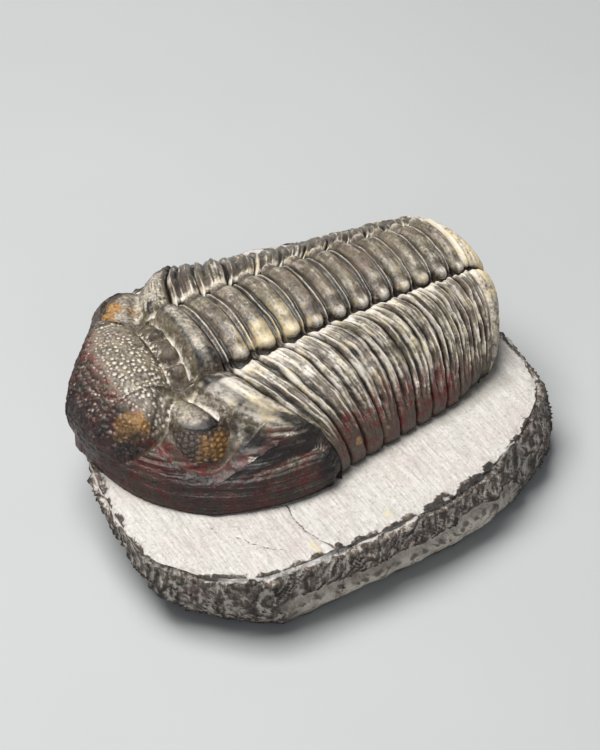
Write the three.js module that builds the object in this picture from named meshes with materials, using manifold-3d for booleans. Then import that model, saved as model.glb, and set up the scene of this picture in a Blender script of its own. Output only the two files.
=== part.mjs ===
// Phacopid trilobite lying on a block of limestone.
// Units are millimetres and +Z is up. The head points to -Y and the tail to +Y, so the animal's left is +X.
// The block stands on z = 0, and the origin is under the middle of the whole piece.

import * as THREE from 'three';
import { mergeVertices } from 'three/addons/utils/BufferGeometryUtils.js';
import Module from 'manifold-3d';

const wasm = await Module();
wasm.setup();

const { lerp, degToRad, smoothstep, clamp } = THREE.MathUtils;

// ---------------------------------------------------------------- driving dimensions

const GAP = 0.3; // clearance between neighbouring pieces

// Limestone block
const BLOCK_TOP = 16; // height of the prepared surface that the animal lies on
const BLOCK_SLANT = 0.3; // the block's sides lean: lower levels lie further back by this much per millimetre
const BLOCK_LEVELS = [
  // height, and how far the widest outline is drawn in at that height
  { z: 0, inset: 2.4 },
  { z: 3, inset: 0.6 },
  { z: 6, inset: 0 },
  { z: 11, inset: 0 },
  { z: 14, inset: 0.6 },
  { z: BLOCK_TOP, inset: 2 },
];

// Back of the animal seen from the side: an arc that falls towards both ends
const SEGMENTS = 11;
const FIRST_PITCH = 5.8; // length of the first segment along the back
const LAST_PITCH = 4; // length of the last one
const THORAX_LENGTH = (SEGMENTS * (FIRST_PITCH + LAST_PITCH)) / 2;
const HEAD_TILT = degToRad(5); // slope of the back where the head meets the thorax
const TAIL_TILT = degToRad(-4); // slope where the thorax meets the tail shield
const TAIL_FRONT_TILT = degToRad(-25); // slope just behind that, where the tail shield turns down
const TAIL_END_TILT = degToRad(-85); // slope at its rear edge
const TAIL_LENGTH = 15; // tail shield, along the back
const CREST_HEIGHT = 17.7; // axial furrows over the bedding where the back is highest

// Cross-section, first and last thoracic segment
const AXIS_HALF_WIDTH = [9.8, 8.1];
const AXIS_RISE = [4.3, 3.7]; // axial lobe over its furrows
const FULCRUM = [22.5, 13.8]; // half-width at which the pleurae bend down
const FULCRUM_DROP = 1.4;
const MARGIN = [31.5, 23.2]; // half-width at the pleural tips
const FULCRUM_SWEEP = 4.6; // how far the pleurae reach back at the fulcrum
const TIP_SWEEP = [6, -1.4]; // and at the tips
const GENAL_PUSH = 5; // extra reach of the first tips, behind the corners of the head
const GENAL_FADE = 7.5; // distance over which that extra reach dies away
const FULCRUM_SWEEP_POWER = 1.3; // how the sweep grows from the axial furrow to the fulcrum
const TIP_SWEEP_POWER = 1.5; // and from there to the tips
const TIP_HEIGHT = 2; // rounded edge of the shell over the bedding
const EDGE_DROP = 0.3; // least fall from the fulcrum to the edge
const AXIS_ANGLES = [0, 20, 40, 60, 78, 90].map(degToRad); // points round half the axial lobe
const PLEURA_ANGLES = [0, 25, 50, 70, 90].map(degToRad); // points round the bend from the fulcrum to the edge
const PLEURA_POINTS = [
  // between the furrow (0) and the fulcrum (1), and height over the furrow
  { at: 0.35, h: 0.9 },
  { at: 0.75, h: 0 },
];

// One thoracic segment from front to back
const FRONT_DROP = 1; // its front edge lies this much lower, under the segment ahead
const REAR_DROP = 0.3;
const RING_CREST = 0.35; // where along the segment it is highest

// Tail shield: rows from its front (0) to its rear end (1), and how it narrows
const TAIL_ROWS = [0, 0.12, 0.3, 0.5, 0.68, 0.84, 0.95];
const TAIL_TAPER = 0.6;
const TAIL_LEAN = 0.3; // share of the slope that the sections follow at the rear end
const TUCK_START = 32; // from here back the underside is drawn in, as the flanks turn under

// Head shield
const HEAD_LENGTH = 25.5;
const HEAD_TURN = Math.tan(degToRad(5)); // the head lies slightly askew, turned towards the right side
const HEAD_TURN_LENGTH = 0.3; // share of the head over which that turn sets in
const HEAD_ROWS = [0.99, 0.95, 0.88, 0.79, 0.69, 0.58, 0.46, 0.34, 0.22, 0.12]; // 1 is the front edge
const CHEEK = {
  left: { halfWidth: 33, power: 3, roundness: 0.45 },
  right: { halfWidth: 31, power: 1.9, roundness: 0.9 }, // this corner is less full
  height: 16,
  steepness: 0.4, // small: flat on top and steep at the edge
};
const GLABELLA = { halfWidth: 17.5, frontLength: 11.2, rearLength: 22.4, rise: 10.5, y: -15, z: 9 };
const EYE = { x: 16.8, y: -8.6, radius: 6.3, thickness: 1.6, low: 7.5, high: 13.4, halfAngle: degToRad(100) };
const EYE_LOBE = { topRadius: 5.3, baseRadius: 7.3, top: 14.4 };
const ROUND_SEGMENTS = 20;

// Facets round the block
const BLOCK_FACETS = 56;

// ---------------------------------------------------------------- solids

/** Points just over the bedding under a row: straight below it, or drawn in to its tips where tuck is 1. */
function footOf(points, tuck) {
  const tip = points[0].y;
  return points.map((p) => new THREE.Vector3(p.x, lerp(p.y, Math.min(p.y, tip), tuck), GAP));
}

/** Closed body under a grid of surface points, with a flat underside; one tuck for each row. */
function bodyUnder(rows, tucks = rows.map(() => 0)) {
  const [height, width] = [rows.length, rows[0].length];
  const top = rows.flat();
  const bottom = rows.flatMap((points, r) => footOf(points, tucks[r]));
  const positions = [...top, ...bottom].flatMap((p) => [p.x, p.y, p.z]);
  const triangles = [];
  const quad = (a, b, c, d) => triangles.push(a, b, c, a, c, d);
  const [upper, lower] = [(r, c) => r * width + c, (r, c) => (height + r) * width + c];
  for (let r = 0; r + 1 < height; r++) {
    for (let c = 0; c + 1 < width; c++) {
      quad(upper(r, c), upper(r, c + 1), upper(r + 1, c + 1), upper(r + 1, c));
      quad(lower(r, c), lower(r + 1, c), lower(r + 1, c + 1), lower(r, c + 1));
    }
    quad(lower(r, 0), upper(r, 0), upper(r + 1, 0), lower(r + 1, 0));
    quad(upper(r, width - 1), lower(r, width - 1), lower(r + 1, width - 1), upper(r + 1, width - 1));
  }
  for (let c = 0; c + 1 < width; c++) {
    quad(upper(0, c), lower(0, c), lower(0, c + 1), upper(0, c + 1));
    quad(upper(height - 1, c), upper(height - 1, c + 1), lower(height - 1, c + 1), lower(height - 1, c));
  }
  const geometry = new THREE.BufferGeometry();
  geometry.setAttribute('position', new THREE.Float32BufferAttribute(positions, 3));
  geometry.setIndex(triangles);
  return geometry;
}

/** Manifold solid of a closed geometry. */
function solidOf(geometry) {
  const bare = geometry.clone();
  bare.deleteAttribute('normal');
  bare.deleteAttribute('uv');
  const merged = mergeVertices(bare, 1e-4);
  const vertProperties = new Float32Array(merged.attributes.position.array);
  const triVerts = new Uint32Array(merged.index.array);
  return new wasm.Manifold(new wasm.Mesh({ numProp: 3, vertProperties, triVerts }));
}

/** Geometry of a manifold solid. */
function geometryOf(solid) {
  const { vertProperties, triVerts } = solid.getMesh();
  const geometry = new THREE.BufferGeometry();
  geometry.setAttribute('position', new THREE.Float32BufferAttribute(vertProperties, 3));
  geometry.setIndex([...triVerts]);
  return geometry;
}

// ---------------------------------------------------------------- the curved back

const alongThorax = ([first, last], s) => lerp(first, last, clamp(s / THORAX_LENGTH, 0, 1));

/** Slope of the back at the distance s behind the head. */
function slope(s) {
  if (s <= THORAX_LENGTH) return lerp(HEAD_TILT, TAIL_TILT, s / THORAX_LENGTH);
  return lerp(TAIL_FRONT_TILT, TAIL_END_TILT, clamp((s - THORAX_LENGTH) / TAIL_LENGTH, 0, 1));
}

/** Height and distance gained from s = 0, by adding up short steps. */
function travel(s) {
  const steps = Math.max(1, Math.ceil(Math.abs(s)));
  const point = { y: 0, z: 0 };
  for (let i = 0; i < steps; i++) {
    const angle = slope((s * (i + 0.5)) / steps);
    point.y += (s / steps) * Math.cos(angle);
    point.z += (s / steps) * Math.sin(angle);
  }
  return point;
}

const CREST_S = (THORAX_LENGTH * HEAD_TILT) / (HEAD_TILT - TAIL_TILT);
const START_HEIGHT = CREST_HEIGHT - travel(CREST_S).z;

/** Lean of a cross-section: square to the back on the thorax, more upright on the tail shield. */
function lean(s) {
  if (s <= THORAX_LENGTH) return slope(s);
  return lerp(TAIL_TILT, slope(s), TAIL_LEAN * smoothstep(s, THORAX_LENGTH, THORAX_LENGTH + TAIL_LENGTH));
}

/** Half-widths of the axial lobe, the fulcrum and the margin. */
function halfWidths(s, scale) {
  return [AXIS_HALF_WIDTH, FULCRUM, MARGIN].map((pair) => alongThorax(pair, s) * scale);
}

/** How far back the pleurae reach at half-width x, where the sections are narrowed by scale. */
function sweep(s, x, scale) {
  const [axis, fulcrum, margin] = halfWidths(s, scale);
  const inner = clamp((x - axis) / (fulcrum - axis), 0, 1);
  const outer = clamp((x - fulcrum) / (margin - fulcrum), 0, 1);
  const tip = alongThorax(TIP_SWEEP, s) + GENAL_PUSH * Math.exp(-Math.max(s, 0) / GENAL_FADE);
  const inside = FULCRUM_SWEEP * inner ** FULCRUM_SWEEP_POWER;
  return (inside + (tip - FULCRUM_SWEEP) * outer ** TIP_SWEEP_POWER) * scale;
}

/** Half a cross-section from the middle of the back outwards: half-widths, heights over the axial furrow. */
function halfSection(s, scale, lift) {
  const [axis, fulcrum, margin] = halfWidths(s, scale);
  const rise = alongThorax(AXIS_RISE, s) * scale + lift;
  const points = [];
  for (const angle of AXIS_ANGLES) points.push({ x: axis * Math.sin(angle), h: rise * Math.cos(angle) });
  for (const { at, h } of PLEURA_POINTS) points.push({ x: lerp(axis, fulcrum, at), h: h + lift });
  for (const angle of PLEURA_ANGLES) {
    points.push({ x: lerp(fulcrum, margin, Math.sin(angle)), bend: Math.cos(angle) });
  }
  return points.map(({ x, h, bend }) => placed(s, x, h, bend, scale, lift));
}

/** A section's point in space. The outer pleura falls from fulcrum to edge as bend goes from 1 to 0. */
function placed(s, x, h, bend, scale, lift) {
  const tilt = lean(s);
  const { y, z } = travel(s);
  const reach = sweep(s, x, scale);
  const base = START_HEIGHT + z + reach * Math.sin(tilt);
  const edge = (TIP_HEIGHT - base) / Math.cos(tilt);
  const height = h ?? lerp(edge, Math.max(lift - FULCRUM_DROP, edge + EDGE_DROP), bend);
  return new THREE.Vector3(
    x,
    y + reach * Math.cos(tilt) - height * Math.sin(tilt),
    Math.max(base + height * Math.cos(tilt), TIP_HEIGHT),
  );
}

/** One row of surface points across the animal. */
function row(s, scale = 1, lift = 0) {
  const left = halfSection(s, scale, lift);
  const right = left.slice(1).map((p) => new THREE.Vector3(-p.x, p.y, p.z));
  return [...right.reverse(), ...left];
}

// ---------------------------------------------------------------- thorax and tail shield

/** Distance behind the head at which segment n starts, counted from zero. */
function segmentStart(n) {
  const change = (LAST_PITCH - FIRST_PITCH) / (SEGMENTS - 1);
  return n * FIRST_PITCH + (change * n * (n - 1)) / 2;
}

/** How far the underside is drawn in at the distance s. */
const tuck = (s) => smoothstep(s, TUCK_START, THORAX_LENGTH);

/** A thoracic segment: low in front where it slides under the one ahead, high on its ring, lower behind. */
function segmentGeometry(n) {
  const [start, end] = [segmentStart(n) + GAP / 2, segmentStart(n + 1) - GAP / 2];
  const crest = lerp(start, end, RING_CREST);
  const rows = [row(start, 1, -FRONT_DROP), row(crest), row(end, 1, -REAR_DROP)];
  return bodyUnder(rows, [start, crest, end].map(tuck));
}

/** The tail shield: the thorax's section, narrowing and falling to the bedding. */
function pygidiumGeometry() {
  const start = THORAX_LENGTH + GAP / 2;
  const rows = TAIL_ROWS.map((t) => row(start + t * TAIL_LENGTH, (1 - t) ** TAIL_TAPER));
  return bodyUnder(rows, rows.map(() => 1));
}

// ---------------------------------------------------------------- head shield and eyes

/** Height of the head shield over the bedding, before the head is turned. */
function headHeight(x, y) {
  const side = x > 0 ? CHEEK.left : CHEEK.right;
  const reach = clamp((x / side.halfWidth) ** 2 + (Math.min(y, 0) / HEAD_LENGTH) ** 2, 0, 1);
  const cheek = TIP_HEIGHT + (CHEEK.height - TIP_HEIGHT) * (1 - reach ** 2) ** CHEEK.steepness;
  const { halfWidth, frontLength, rearLength, rise, y: middle, z } = GLABELLA;
  const behind = y > middle;
  const width = behind ? lerp(halfWidth, AXIS_HALF_WIDTH[0], smoothstep(y, middle, 0)) : halfWidth;
  const inside = 1 - (x / width) ** 2 - ((y - middle) / (behind ? rearLength : frontLength)) ** 2;
  const glabella = inside > 0 ? z + rise * Math.sqrt(inside) : 0;
  return Math.max(cheek, glabella);
}

/** Turns a point of the head: nothing at the thorax, fully from amount 1 forward. */
function turned(x, y, z, amount) {
  return new THREE.Vector3(x + y * HEAD_TURN * amount, y - x * HEAD_TURN * amount, z);
}

/** The head shield without its eyes: rows from the front edge back to the first segment. */
function headGeometry() {
  const rear = row(-GAP / 2);
  const rows = [];
  for (const t of HEAD_ROWS) {
    rows.push(rear.map((p) => {
      const { halfWidth, power, roundness } = p.x > 0 ? CHEEK.left : CHEEK.right;
      const x = (p.x / MARGIN[0]) * halfWidth * (1 - t ** power) ** roundness;
      const y = p.y * (1 - t) - HEAD_LENGTH * t;
      return turned(x, y, headHeight(x, -HEAD_LENGTH * t), smoothstep(t, 0, HEAD_TURN_LENGTH));
    }));
  }
  rows.push(rear);
  return bodyUnder(rows);
}

/** Crescent of the eye's lens surface, on the outer side of the eye lobe; grown by clearance for its seat. */
function eyeGeometry(side, clearance = 0) {
  const { x, y, radius, thickness, low, high, halfAngle } = EYE;
  const outline = new THREE.Shape();
  const spread = halfAngle + clearance / radius;
  const middle = side > 0 ? 0 : Math.PI;
  outline.absarc(0, 0, radius + clearance, middle - spread, middle + spread, false);
  outline.absarc(0, 0, radius - thickness - clearance, middle + spread, middle - spread, true);
  const depth = high - low + 2 * clearance;
  const options = { depth, bevelEnabled: false, curveSegments: ROUND_SEGMENTS };
  const geometry = new THREE.ExtrudeGeometry(outline, options);
  const centre = turned(side * x, y, low - clearance, 1);
  return geometry.translate(centre.x, centre.y, centre.z);
}

/** Eye lobe that carries the lens surface. */
function eyeLobeGeometry(side) {
  const { topRadius, baseRadius, top } = EYE_LOBE;
  const height = top - GAP;
  const lobe = new THREE.CylinderGeometry(topRadius, baseRadius, height, ROUND_SEGMENTS);
  const centre = turned(side * EYE.x, EYE.y, GAP + height / 2, 1);
  return lobe.rotateX(Math.PI / 2).translate(centre.x, centre.y, centre.z);
}

function cephalonGeometry() {
  let head = solidOf(headGeometry());
  for (const side of [1, -1]) head = head.add(solidOf(eyeLobeGeometry(side)));
  for (const side of [1, -1]) head = head.subtract(solidOf(eyeGeometry(side, GAP)));
  return geometryOf(head);
}

// ---------------------------------------------------------------- limestone block

/** The block's widest outline from above, through hand-placed corners: [x, y]. */
const BLOCK_OUTLINE = [
  [4, -28.5],
  [20, -31],
  [32, -31],
  [42, -24],
  [48.5, -15],
  [49.3, 4],
  [48.5, 24],
  [44.5, 39],
  [37, 52.5],
  [27, 61.5],
  [10, 63.5],
  [-10, 61],
  [-26, 55],
  [-37, 42],
  [-41, 24],
  [-41, 8],
  [-35, -5],
  [-22, -15],
  [-8, -24],
];

function blockGeometry() {
  const corners = BLOCK_OUTLINE.map(([x, y]) => new THREE.Vector3(x, y, 0));
  const curve = new THREE.CatmullRomCurve3(corners, true);
  const count = BLOCK_FACETS;
  const outline = curve.getPoints(count).slice(0, count);
  const middle = outline.reduce((sum, p) => sum.add(p), new THREE.Vector3()).divideScalar(count);
  const rings = BLOCK_LEVELS.map(({ z, inset }) => outline.map((p) => {
    const outward = p.clone().sub(middle).normalize();
    const point = p.clone().addScaledVector(outward, -inset);
    return new THREE.Vector3(point.x, point.y + BLOCK_SLANT * (BLOCK_TOP - z), z);
  }));
  const positions = rings.flat().flatMap((p) => [p.x, p.y, p.z]);
  positions.push(middle.x, middle.y + BLOCK_SLANT * BLOCK_TOP, 0, middle.x, middle.y, BLOCK_TOP);
  const [bottomCentre, topCentre] = [rings.length * count, rings.length * count + 1];
  const triangles = [];
  for (let i = 0; i < count; i++) {
    const j = (i + 1) % count;
    for (let r = 0; r + 1 < rings.length; r++) {
      const [a, b, c, d] = [r * count + i, r * count + j, (r + 1) * count + j, (r + 1) * count + i];
      triangles.push(a, b, c, a, c, d);
    }
    const last = (rings.length - 1) * count;
    triangles.push(j, i, bottomCentre, last + i, last + j, topCentre);
  }
  const geometry = new THREE.BufferGeometry();
  geometry.setAttribute('position', new THREE.Float32BufferAttribute(positions, 3));
  geometry.setIndex(triangles);
  return geometry;
}

// ---------------------------------------------------------------- assembly

const surface = (color, roughness) => new THREE.MeshStandardMaterial({ color, roughness, metalness: 0 });

const specimen = new THREE.Group();
const animal = new THREE.Group();
animal.position.z = BLOCK_TOP;
specimen.add(animal);

function addPiece(group, name, geometry, color, roughness) {
  const mesh = new THREE.Mesh(geometry, surface(color, roughness));
  mesh.name = name;
  group.add(mesh);
}

addPiece(specimen, 'matrix', blockGeometry(), 0xc9c2ba, 0.9);
addPiece(animal, 'cephalon', cephalonGeometry(), 0x4a3a30, 0.45);
addPiece(animal, 'left_eye', eyeGeometry(1), 0x7a4d28, 0.45);
addPiece(animal, 'right_eye', eyeGeometry(-1), 0x7a4d28, 0.45);
for (let n = 0; n < SEGMENTS; n++) {
  const number = String(n + 1).padStart(2, '0');
  addPiece(animal, `thoracic_segment_${number}`, segmentGeometry(n), 0x4d443d, 0.45);
}
addPiece(animal, 'pygidium', pygidiumGeometry(), 0x4d443d, 0.45);

// The origin goes under the middle of the whole piece.
const part = new THREE.Group();
part.add(specimen);
const box = new THREE.Box3().setFromObject(specimen);
specimen.position.set(-(box.min.x + box.max.x) / 2, -(box.min.y + box.max.y) / 2, -box.min.z);

export default part;
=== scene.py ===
import math

import bpy
import numpy as np
from bpy.props import FloatProperty, FloatVectorProperty, PointerProperty
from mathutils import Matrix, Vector


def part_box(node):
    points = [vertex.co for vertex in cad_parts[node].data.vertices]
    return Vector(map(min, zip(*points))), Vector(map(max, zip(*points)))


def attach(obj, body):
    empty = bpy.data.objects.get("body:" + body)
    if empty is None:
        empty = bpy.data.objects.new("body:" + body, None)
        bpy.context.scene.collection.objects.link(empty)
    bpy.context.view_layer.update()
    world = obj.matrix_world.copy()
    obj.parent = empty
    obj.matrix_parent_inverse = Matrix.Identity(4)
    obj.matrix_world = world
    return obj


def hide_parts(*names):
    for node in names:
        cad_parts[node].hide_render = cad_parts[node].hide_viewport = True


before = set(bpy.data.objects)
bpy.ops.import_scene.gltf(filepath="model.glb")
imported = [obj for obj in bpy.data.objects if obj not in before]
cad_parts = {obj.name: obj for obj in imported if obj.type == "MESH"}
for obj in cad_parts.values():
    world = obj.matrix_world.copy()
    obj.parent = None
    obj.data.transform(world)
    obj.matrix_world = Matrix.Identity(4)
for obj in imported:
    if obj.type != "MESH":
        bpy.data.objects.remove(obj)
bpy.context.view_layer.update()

bl_info = {
    "name": "Trilobite Fossil",
    "version": (1, 0, 0),
    "blender": (4, 5, 0),
    "location": "3D View > Sidebar > Fossil",
    "description": "Builds a phacopid trilobite lying on a tooled block of limestone",
    "category": "Object",
}

# Fossil coordinates are millimetres: x = 0 is the animal's midline, y = 0 the joint between head and
# thorax, z = 0 the bedding plane that the animal lies on. The head points to -y, the left side is +x.
FIRST_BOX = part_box("thoracic_segment_01")
JOINT_GAP = 0.00014  # half the gap between head and thorax, in metres
ORIGIN = np.array([
    (FIRST_BOX[0].x + FIRST_BOX[1].x) / 2,
    FIRST_BOX[0].y + JOINT_GAP,
    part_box("matrix")[1].z,
])
BURIED = -0.5  # undersides end this far below the bedding

# ---- settings


def number(name, text, value, **more):
    """A number that isn't negative."""
    return FloatProperty(name=name, description=text, default=value, min=0, **more)


def length(name, text, value):
    """A size in millimetres."""
    return number(name, text + ", in millimetres", value, max=30)


def colour(name, text, value):
    """A colour without alpha; text says what it is the colour of."""
    text = "Colour of " + text
    return FloatVectorProperty(
        name=name, description=text, default=value, size=3, min=0.0, max=1.0, subtype="COLOR"
    )


class ShellSettings(bpy.types.PropertyGroup):
    """Relief and colours of the animal's shell."""

    ring_height: length("Ring height", "How far each axial ring stands over its groove", 1.35)
    ridge_height: length("Ridge height", "How far the pleural ridges stand over their grooves", 0.82)
    furrow_depth: length("Furrow depth", "Depth of the grooves between segments", 1.15)
    tubercle_size: length("Tubercle size", "Radius of the warts on the glabella", 0.46)
    grain: length("Grain", "Height of the fine unevenness of the shell", 0.12)
    # dark: random dark mottling of the shell, and painted shade in its low places
    dark: colour("Dark shell", "the shell in low places", (0.036, 0.026, 0.019))
    middle: colour("Shell", "most of the shell", (0.150, 0.115, 0.085))
    olive: colour("Olive tint", "the rest of the shell", (0.150, 0.128, 0.080))
    # ridge: pale colour of the crests, partly wear and partly painted highlight
    ridge: colour("Ridge", "worn crests", (0.60, 0.555, 0.49))
    cream: colour("Cream", "the palest worn places", (0.60, 0.49, 0.30))
    wine: colour("Oxblood", "the dark red patches", (0.085, 0.011, 0.009))
    rust: colour("Ochre", "the rusty patches", (0.36, 0.20, 0.065))
    # furrow: near black laid in the deepest grooves as painted shade
    furrow: colour("Furrow", "the deepest grooves", (0.006, 0.005, 0.005))


class StoneSettings(bpy.types.PropertyGroup):
    """Relief and colours of the limestone block."""

    chip_depth: length("Chip depth", "How far the rim of the top is broken in", 1.7)
    tool_depth: length("Tool marks", "Depth of the chisel marks round the sides", 0.9)
    top: colour("Top", "the scraped top", (0.515, 0.495, 0.465))
    blush: colour("Blush", "the pinkish parts of the top", (0.50, 0.455, 0.43))
    side: colour("Side", "the tooled sides", (0.21, 0.175, 0.145))
    bruise: colour("Tool bruise", "the crests of the tool marks", (0.56, 0.52, 0.46))
    layer: colour("Lower layer", "the smoother layer below the rim", (0.66, 0.60, 0.52))
    vein: colour("Vein", "the cracks", (0.05, 0.03, 0.025))


class StageSettings(bpy.types.PropertyGroup):
    """Floor, lights and camera."""

    floor: colour("Floor", "the floor", (0.38, 0.39, 0.395))
    key_power: number("Key light", "Power of the main soft light", 8.3, unit="POWER")
    fill_power: number("Fill light", "Power of the front light", 0.9, unit="POWER")
    sky: number("Surroundings", "Strength of the even light all round", 0.20)
    distance: number("Distance", "Camera to object", 0.56, unit="LENGTH")
    lens: number("Focal length", "In millimetres", 138.4, unit="CAMERA")
    azimuth: number("Azimuth", "Camera's turn round the object", math.radians(59.5), subtype="ANGLE")
    elevation: number("Elevation", "Camera's height over the floor", math.radians(40.2), subtype="ANGLE")


# ---- numbers


def lerp(a, b, t):
    """From a at t = 0 to b at t = 1."""
    return a + (b - a) * t


def unit(x):
    """x kept between 0 and 1."""
    return np.clip(x, 0, 1)


def dome(x):
    """Square root, 0 where x is negative."""
    return np.sqrt(np.maximum(x, 0))


def step(x, low, high):
    """Smooth rise from 0 at low to 1 at high."""
    t = unit((x - low) / (high - low))
    return t * t * (3 - 2 * t)


def hump(x, middle, width):
    """Bell of height 1."""
    return np.exp(-(((x - middle) / width) ** 2))


def highest(a, b, blend):
    """Larger of two heights with a rounded inner corner."""
    return 0.5 * (a + b + np.sqrt((a - b) ** 2 + blend * blend))


def chance(i, j, k, seed):
    """One repeatable number from 0 to 1 for each cell of a lattice."""
    h = ((i * 73856093) ^ (j * 19349663) ^ (k * 83492791) ^ (seed * 40503)) & 0xFFFFFFFF
    h = ((h ^ (h >> 16)) * 0x45D9F3B) & 0xFFFFFFFF
    h = ((h ^ (h >> 16)) * 0x45D9F3B) & 0xFFFFFFFF
    return ((h ^ (h >> 16)) & 0xFFFFFF) / float(0xFFFFFF)


def noise(points, seed=0):
    """Smooth noise from -1 to 1 with cells of size 1."""
    cell = np.floor(points).astype(np.int64)
    f = points - cell
    f = f * f * f * (f * (f * 6 - 15) + 10)
    total = 0
    for corner in range(8):
        d = [(corner >> a) & 1 for a in range(3)]
        weight = 1
        for a in range(3):
            weight = weight * (f[..., a] if d[a] else 1 - f[..., a])
        total += weight * chance(cell[..., 0] + d[0], cell[..., 1] + d[1], cell[..., 2] + d[2], seed)
    return total * 2 - 1


def grain(points, size, octaves=4, seed=0, gain=0.5):
    """Layered noise; size is the width of its largest features."""
    total, weight, height = 0, 1.0, 0.0
    q = points / size
    for o in range(octaves):
        total += weight * noise(q, seed + 17 * o)
        height += weight
        weight *= gain
        q = q * 2.03 + 11.7
    return total / height * 1.6


def ripple(u, v, w, octaves, seed):
    """Layered noise over any three coordinates, given in units of its largest features."""
    return grain(np.stack(np.broadcast_arrays(u, v, w), -1), 1.0, octaves, seed)


def warts(points, spacing, radius, seed):
    """Round knobs scattered over a surface: height of the nearest one at each point."""
    q = points / spacing
    cell = np.floor(q).astype(np.int64)
    best = np.zeros(points.shape[:-1])
    for dx in (-1, 0, 1):
        for dy in (-1, 0, 1):
            for dz in (-1, 0, 1):
                c = [cell[..., a] + d for a, d in enumerate((dx, dy, dz))]
                gap2 = 0
                for a in range(3):
                    place = c[a] + 0.5 + 0.62 * (chance(*c, seed + a) - 0.5)
                    gap2 += (q[..., a] - place) ** 2
                size = radius / spacing * (0.62 + 0.6 * chance(*c, seed + 7))
                best = np.maximum(best, dome(1 - gap2 / size**2) * size * spacing)
    return best


def grid_normals(points):
    """Unit normals of a grid of points, facing up or out."""
    across, along = np.gradient(points, axis=1), np.gradient(points, axis=0)
    n = np.cross(across, along)
    return n / np.maximum(np.linalg.norm(n, axis=-1, keepdims=True), 1e-9)


def convexity(points, normals, rows, columns):
    """How far each point stands over the mean of its neighbours a few cells away."""
    r, c = points.shape[:2]
    up, down = np.clip(np.arange(r) - rows, 0, r - 1), np.clip(np.arange(r) + rows, 0, r - 1)
    left, right = np.clip(np.arange(c) - columns, 0, c - 1), np.clip(np.arange(c) + columns, 0, c - 1)
    mean = (points[up] + points[down] + points[:, left] + points[:, right]) / 4
    return np.einsum("...i,...i->...", points - mean, normals)


def blob(points, centre, radii):
    """Soft patch of full strength at its centre."""
    d = (points - np.array(centre)) / np.array(radii)
    return np.exp(-(d**2).sum(-1))


def blobs(points, *spots):
    """Sum of soft patches, each given as its strength, centre and radii."""
    return sum(strength * blob(points, centre, radii) for strength, centre, radii in spots)


# ---- the curved back

SEGMENTS, FIRST_PITCH, LAST_PITCH = 11, 5.8, 4.0
THORAX = SEGMENTS * (FIRST_PITCH + LAST_PITCH) / 2
HEAD_TILT, TAIL_TILT, TAIL_FRONT, TAIL_END = [math.radians(a) for a in (5, -4, -25, -85)]
TAIL, CREST = 15.0, 17.7
TIP_HEIGHT = 1.0  # pleural tips over the bedding
LOBE = 0.26  # where the axial lobe ends, from the midline (0) to the tips (1)


def slope(s):
    """Angle of the animal's crest over the bedding, at s behind the head."""
    thorax = lerp(HEAD_TILT, TAIL_TILT, s / THORAX)
    tail = lerp(TAIL_FRONT, TAIL_END, unit((s - THORAX) / TAIL))
    return np.where(s <= THORAX, thorax, tail)


STRIDE = 0.05
TRACK = np.arange(-40, 90, STRIDE)  # distances along the crest, and its y and z there
TRACK_Y = np.cumsum(np.cos(slope(TRACK + STRIDE / 2))) * STRIDE
TRACK_Z = np.cumsum(np.sin(slope(TRACK + STRIDE / 2))) * STRIDE
HEAD_JOINT = int(np.argmin(abs(TRACK)))
TRACK_Y -= TRACK_Y[HEAD_JOINT]
TRACK_Z -= TRACK_Z[HEAD_JOINT]
START_HEIGHT = CREST - TRACK_Z[: int(THORAX / STRIDE) + HEAD_JOINT].max()


def along(first, last, s):
    """A measure that changes evenly from the first segment to the last."""
    return lerp(first, last, unit(s / THORAX))


def segment_start(n):
    """Distance behind the head at which segment n starts; the pitch shrinks evenly."""
    change = (LAST_PITCH - FIRST_PITCH) / (SEGMENTS - 1)
    return n * FIRST_PITCH + change * n * (n - 1) / 2


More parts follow.
